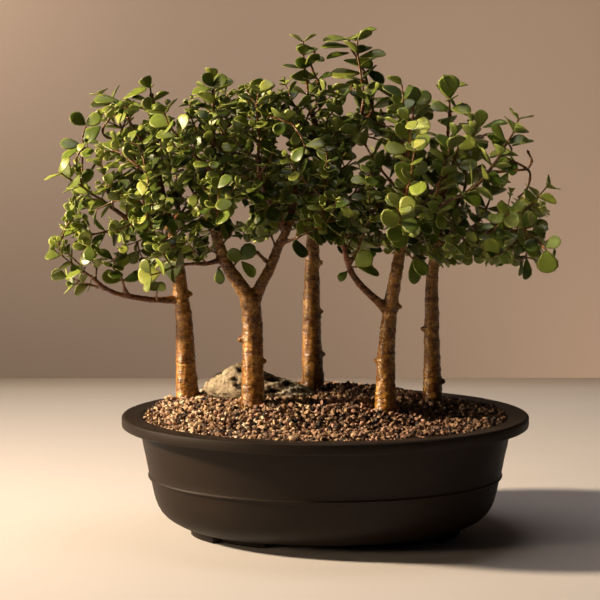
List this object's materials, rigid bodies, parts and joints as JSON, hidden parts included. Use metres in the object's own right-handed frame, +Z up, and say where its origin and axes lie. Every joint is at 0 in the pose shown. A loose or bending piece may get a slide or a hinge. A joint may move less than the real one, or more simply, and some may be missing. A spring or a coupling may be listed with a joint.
{
  "type": "dwarf jade bonsai forest in an oval pot",
  "caption": "Dwarf jade bonsai planted as a small grove: upright trunks with leafy crowns, gravel and a rock in a low oval plastic pot on feet.",
  "frame": {"origin": "middle of the whole plant's footprint, on the surface that the pot's feet stand on", "axes": "+Z up, +X along the pot's long side to the right, +Y away from the front"},
  "size_m": [0.331, 0.205, 0.3227],
  "materials": {
    "moulded_pot": "satin dark brown moulded plastic",
    "drain_mesh": "black plastic mesh",
    "potting_soil": "dark crumbly bark-based mix",
    "gravel": "mixed tan, pink-grey and brown grit",
    "rock": "weathered tan stone with dark crevices",
    "bark": "smooth glossy golden-brown succulent bark with leaf-scar rings",
    "leaf": "glossy green fleshy leaf with a waxy skin"
  },
  "bodies": {
    "root": {"pot": "moulded_pot", "drain_screen_left": "drain_mesh", "drain_screen_right": "drain_mesh", "potting_soil": "potting_soil", "gravel": "gravel", "rock": "rock", "tree_1_wood": "bark", "tree_2_wood": "bark", "tree_3_wood": "bark", "tree_4_wood": "bark", "tree_5_wood": "bark", "tree_1_spray_01": "leaf", "tree_1_spray_02": "leaf", "tree_1_spray_03": "leaf", "tree_1_spray_04": "leaf", "tree_1_spray_05": "leaf", "tree_1_spray_06": "leaf", "tree_1_spray_07": "leaf", "tree_1_spray_08": "leaf", "tree_1_spray_09": "leaf", "tree_1_spray_10": "leaf", "tree_1_spray_11": "leaf", "tree_2_spray_01": "leaf", "tree_2_spray_02": "leaf", "tree_2_spray_03": "leaf", "tree_2_spray_04": "leaf", "tree_2_spray_05": "leaf", "tree_2_spray_06": "leaf", "tree_2_spray_07": "leaf", "tree_2_spray_08": "leaf", "tree_2_spray_09": "leaf", "tree_3_spray_01": "leaf", "tree_3_spray_02": "leaf", "tree_3_spray_03": "leaf", "tree_3_spray_04": "leaf", "tree_3_spray_05": "leaf", "tree_3_spray_06": "leaf", "tree_3_spray_07": "leaf", "tree_3_spray_08": "leaf", "tree_3_spray_09": "leaf", "tree_3_spray_10": "leaf", "tree_4_spray_01": "leaf", "tree_4_spray_02": "leaf", "tree_4_spray_03": "leaf", "tree_4_spray_04": "leaf", "tree_4_spray_05": "leaf", "tree_4_spray_06": "leaf", "tree_4_spray_07": "leaf", "tree_4_spray_08": "leaf", "tree_4_spray_09": "leaf", "tree_4_spray_10": "leaf", "tree_5_spray_01": "leaf", "tree_5_spray_02": "leaf", "tree_5_spray_03": "leaf", "tree_5_spray_04": "leaf", "tree_5_spray_05": "leaf", "tree_5_spray_06": "leaf", "tree_5_spray_07": "leaf", "tree_5_spray_08": "leaf", "tree_5_spray_09": "leaf"}
  },
  "joints": []
}
